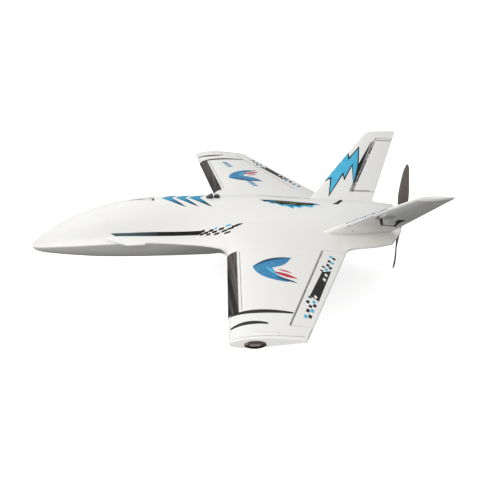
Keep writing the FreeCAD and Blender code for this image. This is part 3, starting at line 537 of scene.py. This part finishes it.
# black ink; on the moving surfaces' end gaps it is painted shade
BLACK_INK_AND_SHADE = sticker_ink("black_ink_and_painted_shade", (0.012, 0.011, 0.011), (0.020, 0.019, 0.018))
INK_SKY = sticker_ink("ink_sky", (0.070, 0.430, 0.680), (0.095, 0.500, 0.740))
INK_BLUE = sticker_ink("ink_blue", (0.030, 0.200, 0.400), (0.045, 0.260, 0.480))
INK_NAVY = sticker_ink("ink_navy", (0.012, 0.060, 0.130), (0.018, 0.080, 0.170))
INK_RED = sticker_ink("ink_red", (0.480, 0.030, 0.055), (0.620, 0.050, 0.085))
INK_OLIVE = sticker_ink("ink_olive", (0.110, 0.105, 0.030), (0.200, 0.190, 0.040))
RUBBER = moulded("seal_rubber", (0.020, 0.020, 0.021), 0.7)
# dark plastic of the deck vent's louvre; on the intake's slats it is painted shade
LOUVRE_PLASTIC_AND_SHADE = moulded("louvre_plastic_and_painted_shade", (0.020, 0.019, 0.019), 0.6)
TAPED_CASE = moulded("taped_case", (0.62, 0.62, 0.60), 0.45, 900.0, 0.00003)
INK_WHITE = sticker_ink("ink_white", (0.780, 0.775, 0.760), (0.820, 0.815, 0.800))
# grey ink; the intake, guard, tip and aileron lines drawn with it are painted shade
GREY_INK_AND_SHADE = sticker_ink("grey_ink_and_painted_shade", (0.300, 0.290, 0.280), (0.340, 0.330, 0.320))

INK_CHEVRON = fading_ink("ink_chevron", "Y", 0.006, 0.023, (0.040, 0.330, 0.560), (0.010, 0.040, 0.080))
INK_FADE = fading_ink("ink_fade", "X", 0.150, 0.090, (0.070, 0.110, 0.140), (0.014, 0.013, 0.013))


def dress_nodes():
    """Gives every CAD node its finish, by the material named in each of its slots, and the tail's
    servos their tape."""
    for node in NODES.values():
        for place in node.material_slots:
            place.material = FINISHES[place.material.name]
    for hand in ("port", "starboard"):
        for place in NODES[f"ruddervator_servo_{hand}"].material_slots:
            place.material = TAPED_CASE


# ---------------------------------------------------------------- drawing planes
class Plane:
    """A flat drawing plane beside the model. A drawing's (u, v) millimetres lie along its two axes, and
    it is laid on the skin along the plane's own normal. side -1 mirrors it to starboard."""

    def __init__(self, origin, u, v):
        self.origin, self.u, self.v = Vector(origin), Vector(u), Vector(v)
        self.normal = self.u.cross(self.v).normalized()

    def ray(self, point, side):
        """Start, in metres, and direction of the ray that carries a drawn point to the skin."""
        start = self.origin + self.u * point[0] + self.v * point[1] + self.normal * PLANE_REACH
        flip = Vector((1.0, side, 1.0))
        return start * flip * MM, -self.normal * flip


TAIL_SPAN = (0.0, math.sin(TAIL_CANT), math.cos(TAIL_CANT))
TOP = Plane((0, 0, 0), (1, 0, 0), (0, 1, 0))
FLANK = Plane((0, 0, 0), (-1, 0, 0), (0, -0.661, 0.750))
TAIL_INSIDE = Plane((0, *TAIL_FOOT), (1, 0, 0), TAIL_SPAN)
TAIL_OUTSIDE = Plane((0, *TAIL_FOOT), (-1, 0, 0), TAIL_SPAN)


def skin_tree(names):
    """One search tree over the meshes of those CAD nodes."""
    corners, faces = [], []
    for name in names:
        mesh = NODES[name].data
        base = len(corners)
        corners += [v.co.copy() for v in mesh.vertices]
        faces += [tuple(base + i for i in p.vertices) for p in mesh.polygons]
    return BVHTree.FromPolygons(corners, faces)


def flat_drawing(outlines):
    """The outlines filled, facing up, and cut along a square grid so that they can follow a skin."""
    bm = bmesh.new()
    for outline in outlines:
        area = sum(a[0] * b[1] - b[0] * a[1] for a, b in zip(outline, outline[1:] + outline[:1]))
        turned = outline if area > 0 else outline[::-1]
        bm.faces.new([bm.verts.new((u, v, 0)) for u, v in turned])
    for axis in (0, 1):
        low = min(v.co[axis] for v in bm.verts)
        high = max(v.co[axis] for v in bm.verts)
        for i in range(int((high - low) / STICKER_PITCH) + 1):
            at, normal = Vector((0, 0, 0)), Vector((0, 0, 0))
            at[axis] = low + (i + FIRST_CUT) * STICKER_PITCH
            normal[axis] = 1.0
            cut = bm.verts[:] + bm.edges[:] + bm.faces[:]
            bmesh.ops.bisect_plane(bm, geom=cut, plane_co=at, plane_no=normal)
    bmesh.ops.triangulate(bm, faces=bm.faces[:])
    bm.verts.index_update()
    return bm


def sticker(name, outlines, plane, node_names, body, ink, side=1, layer=0):
    """Lays closed outlines, in millimetres on a plane, on the skin as one thin closed piece."""
    tree = skin_tree(node_names)
    flat = flat_drawing(outlines)
    low = STICKER_LIFT + layer * STICKER_THICKNESS - STICKER_THICKNESS
    under, over = [], []
    for vert in flat.verts:
        start, direction = plane.ray(vert.co, side)
        place, normal, _, _ = tree.ray_cast(start, direction)
        if place is None:
            place, normal, _, _ = tree.find_nearest(start + direction * PLANE_REACH * MM)
        if normal.dot(direction) > 0:
            normal = -normal
        under.append(place + normal * low * MM)
        over.append(place + normal * (low + STICKER_THICKNESS) * MM)
    count = len(under)
    tops = [[v.index for v in face.verts][::side] for face in flat.faces]
    rim = {edge for top in tops for edge in zip(top, top[1:] + top[:1])}
    rim = [(a, b) for a, b in rim if (b, a) not in rim]
    flat.free()
    faces = [[count + i for i in top] for top in tops]
    faces += [top[::-1] for top in tops]
    faces += [[a, b, count + b, count + a] for a, b in rim]
    mesh = bpy.data.meshes.new(name)
    mesh.from_pydata(under + over, [], faces)
    mesh.shade_smooth()
    mesh.set_sharp_from_angle(angle=SHARP_ANGLE)
    mesh.materials.append(ink)
    piece = bpy.data.objects.new(name, mesh)
    bpy.context.scene.collection.objects.link(piece)
    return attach(piece, body)


def on_both_sides(name, outlines, plane, node_names, body, ink, layer=0):
    """The same sticker on the port side and mirrored to starboard; {} stands for the side's name."""
    for side, hand in ((1, "port"), (-1, "starboard")):
        names = [n.format(hand) for n in node_names]
        sticker(f"{name}_{hand}", outlines, plane, names, body.format(hand), ink, side, layer)


# ---------------------------------------------------------------- drawings
def bow(start, end, bulge, steps=14):
    """Points of a shallow arch from start to end, bulging to the left by that many millimetres."""
    a, b = Vector(start), Vector(end)
    across = Vector((a.y - b.y, b.x - a.x)).normalized()
    points = []
    for i in range(steps + 1):
        t = i / steps
        p = a.lerp(b, t) + across * bulge * 4.0 * t * (1.0 - t)
        points.append((p.x, p.y))
    return points


def leaf(start, end, left, right):
    """A crescent or leaf between two tips, with its left and right edges bulging by those amounts."""
    return bow(start, end, left)[:-1] + bow(end, start, right)[:-1]


def bar(start, end, width):
    """A straight strip between two points."""
    a, b = Vector(start), Vector(end)
    across = Vector((a.y - b.y, b.x - a.x)).normalized() * width / 2
    return [tuple(a - across), tuple(b - across), tuple(b + across), tuple(a + across)]


def band(start, end, widths, bulge):
    """A bowed strip whose width changes from its start over its middle to its end."""
    a, b = Vector(start), Vector(end)
    across = Vector((a.y - b.y, b.x - a.x)).normalized()
    left, right = [], []
    middle = bow(start, end, bulge)
    for i, point in enumerate(middle):
        t = i / (len(middle) - 1)
        first = widths[0] + (widths[1] - widths[0]) * math.sin(math.pi * min(t, 0.5))
        last = widths[2] + (widths[1] - widths[2]) * math.sin(math.pi * min(1 - t, 0.5))
        half = across * (first if t < 0.5 else last) / 2
        left.append(tuple(Vector(point) + half))
        right.append(tuple(Vector(point) - half))
    return left + right[::-1]


def cell(centre, along, length, width, slant=0.0):
    """A parallelogram check with its long sides in the given direction."""
    d = Vector(along).normalized()
    n = Vector((-d.y, d.x))
    c = Vector(centre)
    corners = []
    for s, t in ((-1, -1), (1, -1), (1, 1), (-1, 1)):
        corners.append(tuple(c + d * (s * length / 2 + t * slant) + n * t * width / 2))
    return corners


def disc(centre, radius, steps=16):
    """A round spot."""
    turns = [2 * math.pi * i / steps for i in range(steps)]
    return [(centre[0] + radius * math.cos(a), centre[1] + radius * math.sin(a)) for a in turns]


def chevron(tip, notch, end):
    """An arrow head pointing forward, the same on both sides of its axis, with tapering arms."""
    reach = (end[0], end[1] - CHEVRON_AXIS)
    outer = bow((tip, 0.0), reach, -CHEVRON_BULGES[0])
    inner = bow(reach, (notch, 0.0), CHEVRON_BULGES[1])
    half = outer + inner[1:]
    whole = half + [(x, -y) for x, y in reversed(half[1:-1])]
    return [(x, y + CHEVRON_AXIS) for x, y in whole]


def grown(outline, by):
    """The outline moved outwards all round, with long corners cut short."""
    area = sum(a[0] * b[1] - b[0] * a[1] for a, b in zip(outline, outline[1:] + outline[:1]))
    sign = 1.0 if area > 0 else -1.0
    points = []
    for before, here, after in zip(outline[-1:] + outline[:-1], outline, outline[1:] + outline[:1]):
        a = (Vector(here) - Vector(before)).normalized()
        b = (Vector(after) - Vector(here)).normalized()
        out_a, out_b = Vector((a.y, -a.x)) * sign, Vector((b.y, -b.x)) * sign
        middle = (out_a + out_b).normalized()
        out = min(by / max(middle.dot(out_a), 0.2), MITRE_LIMIT * by)
        points.append(tuple(Vector(here) + middle * out))
    return points


def jagged(points, depth):
    """The half outline with a notch cut towards the axis between each two points."""
    out = [points[0]]
    for a, b in zip(points, points[1:]):
        x = NOTCH_SHARE * a[0] + (1.0 - NOTCH_SHARE) * b[0]
        out.append((x, 0.5 * (a[1] + b[1]) - depth))
        out.append(b)
    return out


# ---------------------------------------------------------------- markings
def mark_hatch():
    """Three arrow heads over the lid's crown, and a grey line of painted shade along the intake's starboard
    wall.
    """
    heads = [chevron(*sizes) for sizes in CHEVRONS]
    sticker("chevrons", heads, TOP, ["hatch"], "hatch", INK_CHEVRON)
    # painted shade along the intake's starboard wall, in grey ink
    sticker("intake_shade_line", [bar(*INTAKE_SHADE_LINE)], TOP, ["hatch"], "hatch", GREY_INK_AND_SHADE)


def mark_ridge():
    """A flame of blue shards round a dark core with olive streaks, on both sides of the ridge."""
    shards = jagged(RIDGE_OUTER, RIDGE_NOTCH) + RIDGE_INNER
    core = []
    for x, y in shards:
        core.append((x * CORE_LENGTH + CORE_SHIFT, CORE_MIDDLE + (y - CORE_MIDDLE) * CORE_WIDTH))
    streaks = []
    for x, y, length, bulge in RIDGE_STREAKS:
        streaks.append(leaf((x, y), (x - length, y - STREAK_FALL), bulge, bulge))
    flecks = []
    for x, y, length in RIDGE_FLECKS:
        flecks.append(leaf((x, y), (x - length, y - FLECK_FALL), FLECK_BULGE, FLECK_BULGE))
    layers = (
        ("ridge_shards", [shards], INK_SKY, 0),
        ("ridge_core", [core], BLACK_INK_AND_SHADE, 1),
        ("ridge_streaks", streaks, INK_OLIVE, 2),
        ("ridge_flecks", flecks, INK_SKY, 2),
    )
    for hand, side, drop in RIDGE_DROPS:
        for name, outlines, ink, layer in layers:
            lowered = [[(x, y + drop) for x, y in outline] for outline in outlines]
            sticker(f"{name}_{hand}", lowered, TOP, ["fuselage_deck"], "airframe", ink, side, layer)


def mark_flanks():
    deck = ["fuselage_deck"]
    dark, light = [], []
    for x, v, length in FLANK_CHECKS:
        dark.append(cell((-x, v), FLANK_RUN, length, FLANK_CHECK_WIDTH, FLANK_SLANT))
    dark.append(leaf(*FLANK_DART))
    for x, v, length in FLANK_BLUES:
        light.append(cell((-x, v), FLANK_RUN, length, FLANK_BLUE_WIDTH, FLANK_SLANT))
    on_both_sides("flank_bar", [FLANK_BAR], FLANK, deck, "airframe", INK_FADE)
    on_both_sides("flank_checks", dark, FLANK, deck, "airframe", BLACK_INK_AND_SHADE)
    on_both_sides("flank_blues", light, FLANK, deck, "airframe", INK_SKY)


def mark_wings():
    """Dark stripes over the tips, and grey lines of painted shade in the seam behind the guard and in the
    seams of the tip moulding.
    """
    wing = ["wing_{}"]
    stripes = [band(*sizes) for sizes in TIP_STRIPES]
    on_both_sides("tip_stripes", stripes, TOP, wing, "airframe", BLACK_INK_AND_SHADE)
    # painted shade of the seam behind the guard, in grey ink
    on_both_sides("guard_seam_shade", [bar(*GUARD_SEAM_SHADE)], TOP, wing, "airframe", GREY_INK_AND_SHADE)
    seam = bow(*TIP_SEAM_SHADE)
    lines = [bar(a, b, SEAM_SHADE_WIDTH) for a, b in zip(seam[::2], seam[2::2])]
    lines += [bar(*sizes) for sizes in TIP_SHADE_LINES]
    # painted shade of the tip moulding's seams, in grey ink
    on_both_sides("tip_seam_shade", lines, TOP, wing, "airframe", GREY_INK_AND_SHADE)


def mark_waves():
    """A breaking wave of three blues with a red spray, in the middle of each wing."""
    wing = ["wing_{}"]
    front, hollow, crest, back = (bow(*sizes) for sizes in WAVE_BOWS)
    wave = front + hollow[1:] + crest + back[1:-1]
    navy, pale, red = ([leaf(*sizes) for sizes in leaves] for leaves in (WAVE_NAVY, WAVE_SKY, WAVE_RED))
    on_both_sides("wing_wave_blue", [wave], TOP, wing, "airframe", INK_BLUE)
    on_both_sides("wing_wave_navy", navy, TOP, wing, "airframe", INK_NAVY, layer=1)
    on_both_sides("wing_wave_sky", pale, TOP, wing, "airframe", INK_SKY, layer=1)
    on_both_sides("wing_wave_red", red, TOP, wing, "airframe", INK_RED, layer=2)
    (x0, y0), (x1, y1) = DASH_LINE
    dashes = []
    for y in DASH_YS:
        x = x0 + (x1 - x0) * (y - y0) / (y1 - y0)
        dashes.append(cell((x, y), DASH_RUN, *DASH_SIZE))
    sticker("wing_wave_dashes", dashes, TOP, ["wing_starboard"], "airframe", INK_BLUE)


def mark_ailerons():
    """A black bar along each aileron that breaks up into checks at both ends, and a grey line of painted
    shade along the trailing edge.
    """
    node, body = ["aileron_{}"], "aileron_{}"
    black, blue = [AILERON_BAR], []
    for checks, outlines in ((AILERON_BLACKS, black), (AILERON_BLUES, blue)):
        for x, y, length in checks:
            outlines.append(cell((x, y), AILERON_RUN, length, *AILERON_CHECK))
    white = [cell(place, AILERON_RUN, *AILERON_BREAK) for place in AILERON_WHITES]
    # painted shade along the blunt trailing edge
    on_both_sides("aileron_edge", [bar(*AILERON_EDGE_SHADE)], TOP, node, body, GREY_INK_AND_SHADE)
    on_both_sides("aileron_bar", black, TOP, node, body, BLACK_INK_AND_SHADE)
    on_both_sides("aileron_blues", blue, TOP, node, body, INK_SKY)
    on_both_sides("aileron_whites", white, TOP, node, body, INK_WHITE, layer=1)


def tail_hinge(s, ahead):
    """A point of the tail's drawing plane, at s along the span and so far ahead of the hinge line."""
    return (HINGE_X + HINGE_SWEEP * s + ahead / HINGE_COS, s)


def mark_tail():
    """A forked bolt on the tail's inner faces with a hatched band up the hinge line, and black lines of
    painted shade in the moving surfaces' end gaps; two pips and a line on the outer faces."""
    panel = ["vtail_{}"]
    border = grown(BOLT, BOLT_BORDER)
    on_both_sides("bolt_edge", [border], TAIL_INSIDE, panel, "airframe", BLACK_INK_AND_SHADE)
    on_both_sides("bolt", [BOLT], TAIL_INSIDE, panel, "airframe", INK_SKY, layer=1)
    strokes = []
    for i in range(HATCHING):
        s = HATCHING_START + i * (HATCHING_SPAN / HATCHING)
        low = tail_hinge(s, HATCHING_AHEAD[0])
        high = tail_hinge(s + HATCHING_LEAN, HATCHING_AHEAD[1])
        strokes.append(bar(low, high, HATCHING_WIDTH))
    start, end = (tail_hinge(s, HINGE_EDGE_AHEAD) for s in HINGE_EDGE)
    edge = bar(start, end, HINGE_EDGE_WIDTH)
    on_both_sides("hinge_band", [HINGE_BAND], TAIL_INSIDE, panel, "airframe", BLACK_INK_AND_SHADE, layer=2)
    on_both_sides("hinge_hatching", strokes, TAIL_INSIDE, panel, "airframe", BLACK_INK_AND_SHADE, layer=3)
    on_both_sides("hinge_edge", [edge], TAIL_INSIDE, panel, "airframe", BLACK_INK_AND_SHADE, layer=4)
    surface = "ruddervator_{}"
    # black lines of painted shade in the end gaps
    ends = [bar(*sizes) for sizes in RUDDERVATOR_END_SHADE]
    on_both_sides("ruddervator_ends", ends, TAIL_INSIDE, [surface], surface, BLACK_INK_AND_SHADE)
    pips = [disc(place, PIP_RADIUS) for place in TAIL_PIPS]
    on_both_sides("tail_pips", pips, TAIL_OUTSIDE, panel, "airframe", BLACK_INK_AND_SHADE)
    on_both_sides("tail_line", [bar(*TAIL_LINE)], TAIL_OUTSIDE, panel, "airframe", GREY_INK_AND_SHADE)


# ---------------------------------------------------------------- small added pieces
def add_piece(name, corners, faces, material, body, smooth=False):
    """Makes a closed mesh piece that rides on a body. Corners are in metres."""
    mesh = bpy.data.meshes.new(name)
    mesh.from_pydata(corners, [], faces)
    if smooth:
        mesh.shade_smooth()
        mesh.set_sharp_from_angle(angle=SHARP_ANGLE)
    mesh.materials.append(material)
    piece = bpy.data.objects.new(name, mesh)
    bpy.context.scene.collection.objects.link(piece)
    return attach(piece, body)


def tail_axis(s, side):
    """A point of the tail's hinge axis at s millimetres along the span, in metres."""
    y, z = TAIL_FOOT[0] + TAIL_SPAN[1] * s, TAIL_FOOT[1] + TAIL_SPAN[2] * s
    return Vector((tail_hinge(s, 0.0)[0], side * y, z)) * MM


def seal_cords():
    """Soft dark cords on the tail's hinge lines, between the pins: they close the open groove from view."""
    n = CORD_SIDES
    ring = [(math.cos(t), math.sin(t)) for t in (2 * math.pi * i / n for i in range(n))]
    faces = [[i, (i + 1) % n, n + (i + 1) % n, n + i] for i in range(n)]
    faces += [list(range(n))[::-1], list(range(n, 2 * n))]
    for side, hand in ((1, "port"), (-1, "starboard")):
        for number, run in enumerate(CORD_RUNS):
            ends = [tail_axis(s, side) for s in run]
            along = (ends[1] - ends[0]).normalized()
            across = along.cross(Vector((0, 0, 1))).normalized()
            other = along.cross(across)
            corners = [e + (across * c + other * d) * CORD_R * MM for e in ends for c, d in ring]
            add_piece(f"hinge_cord_{hand}_{number}", corners, faces, RUBBER, "airframe", True)


def vent_louvre():
    """Dark slanted plate in the deck's outlet: it starts under the near edge and rises to the far one."""
    corners = []
    for drop in (0.0, LOUVRE_THICKNESS):
        corners += [Vector((x, y, z - drop)) * MM for x, y, z in LOUVRE]
    count = len(LOUVRE)
    faces = [list(range(count)), list(range(count, 2 * count))[::-1]]
    faces += [[i, count + i, count + (i + 1) % count, (i + 1) % count] for i in range(count)]
    add_piece("deck_vent_louvre", corners, faces, LOUVRE_PLASTIC_AND_SHADE, "airframe")


def shade_slats_in_intake():
    """Dark slats across the intake's throat, under the mouth: painted shade, so that the open throat reads
    dark.
    """
    faces = [(0, 2, 4, 6), (7, 5, 3, 1)]
    faces += [(i, i + 1, (i + 3) % 8, (i + 2) % 8) for i in (0, 2, 4, 6)]
    for number in range(SHADE_SLAT_COUNT):
        corners = []
        for a, b in SHADE_SLAT_SECTION:
            for y in (-SHADE_SLAT_HALF, SHADE_SLAT_HALF):
                corners.append(Vector((SHADE_SLAT_X + number * SHADE_SLAT_PITCH + a, y, SHADE_SLAT_Z + b)) * MM)
        add_piece(f"intake_shade_slat_{number}", corners, faces, LOUVRE_PLASTIC_AND_SHADE, "hatch")


# ---------------------------------------------------------------- light, floor and camera
def sky():
    """Soft light from all round, brighter from above than from below."""
    world = bpy.data.worlds.new("studio")
    world.use_nodes = True
    nodes, links = world.node_tree.nodes, world.node_tree.links
    place = nodes.new("ShaderNodeTexCoord")
    axes = nodes.new("ShaderNodeSeparateXYZ")
    ramp = nodes.new("ShaderNodeMapRange")
    ramp.interpolation_type = "SMOOTHSTEP"
    for key, value in zip(("From Min", "From Max", "To Min", "To Max"), (*SKY_BLEND, SKY_LOW, SKY_HIGH)):
        ramp.inputs[key].default_value = value
    links.new(place.outputs["Generated"], axes.inputs[0])
    links.new(axes.outputs["Z"], ramp.inputs["Value"])
    links.new(ramp.outputs["Result"], nodes["Background"].inputs["Strength"])
    nodes["Background"].inputs["Color"].default_value = (1, 1, 1, 1)
    bpy.context.scene.world = world


def floor_sheet():
    """A plain pale sheet just under the model, bright enough to hide its own edge."""
    low = CAD_BOUNDS[0].z - FLOOR_DROP
    bpy.ops.mesh.primitive_plane_add(size=FLOOR_SIZE, location=(0, 0, low))
    floor = bpy.context.object
    floor.name = "floor"
    floor.visible_diffuse = False
    floor.visible_glossy = False
    f = Finish("floor_paper", (0.97, 0.97, 0.97), 0.9, Emission_Strength=FLOOR_GLOW)
    f.set("Emission Color", (1, 1, 1, 1))
    f.set("Base Color", f.mix(f.noise(3.0, 2.0), (0.975, 0.975, 0.975), (0.965, 0.965, 0.965)))
    floor.data.materials.append(f.material)


def lamps():
    """Soft area lamps, all turned to the camera's target."""
    for name, place, size, power in LAMPS:
        data = bpy.data.lights.new(name, "AREA")
        data.size = size
        data.energy = power
        lamp = bpy.data.objects.new(name, data)
        lamp.location = place
        lamp.rotation_euler = (Vector(place) - CAMERA_TARGET).to_track_quat("Z", "Y").to_euler()
        bpy.context.scene.collection.objects.link(lamp)


def camera():
    """The scene's camera, turned about the model and rolled about its own axis."""
    a, e, roll = (math.radians(v) for v in (CAMERA_AZIMUTH, CAMERA_ELEVATION, CAMERA_ROLL))
    back = Vector((math.sin(a) * math.cos(e), -math.cos(a) * math.cos(e), math.sin(e)))
    right = (-back).cross(Vector((0, 0, 1))).normalized()
    up = right.cross(-back)
    data = bpy.data.cameras.new("camera")
    data.sensor_width = SENSOR
    data.lens = LENS
    data.clip_end = CAMERA_REACH
    view = bpy.data.objects.new("camera", data)
    x = right * math.cos(roll) + up * math.sin(roll)
    y = up * math.cos(roll) - right * math.sin(roll)
    turn = view.matrix_world.to_3x3()
    for row in range(3):
        turn[row] = (x[row], y[row], back[row])
    view.matrix_world = turn.to_4x4()
    view.location = CAMERA_TARGET + back * CAMERA_DISTANCE
    bpy.context.scene.collection.objects.link(view)
    bpy.context.scene.camera = view


dress_nodes()
mark_hatch()
mark_ridge()
mark_flanks()
mark_wings()
mark_waves()
mark_ailerons()
mark_tail()
seal_cords()
vent_louvre()
shade_slats_in_intake()
sky()
floor_sheet()
lamps()
camera()
bpy.context.scene.view_settings.view_transform = "Standard"
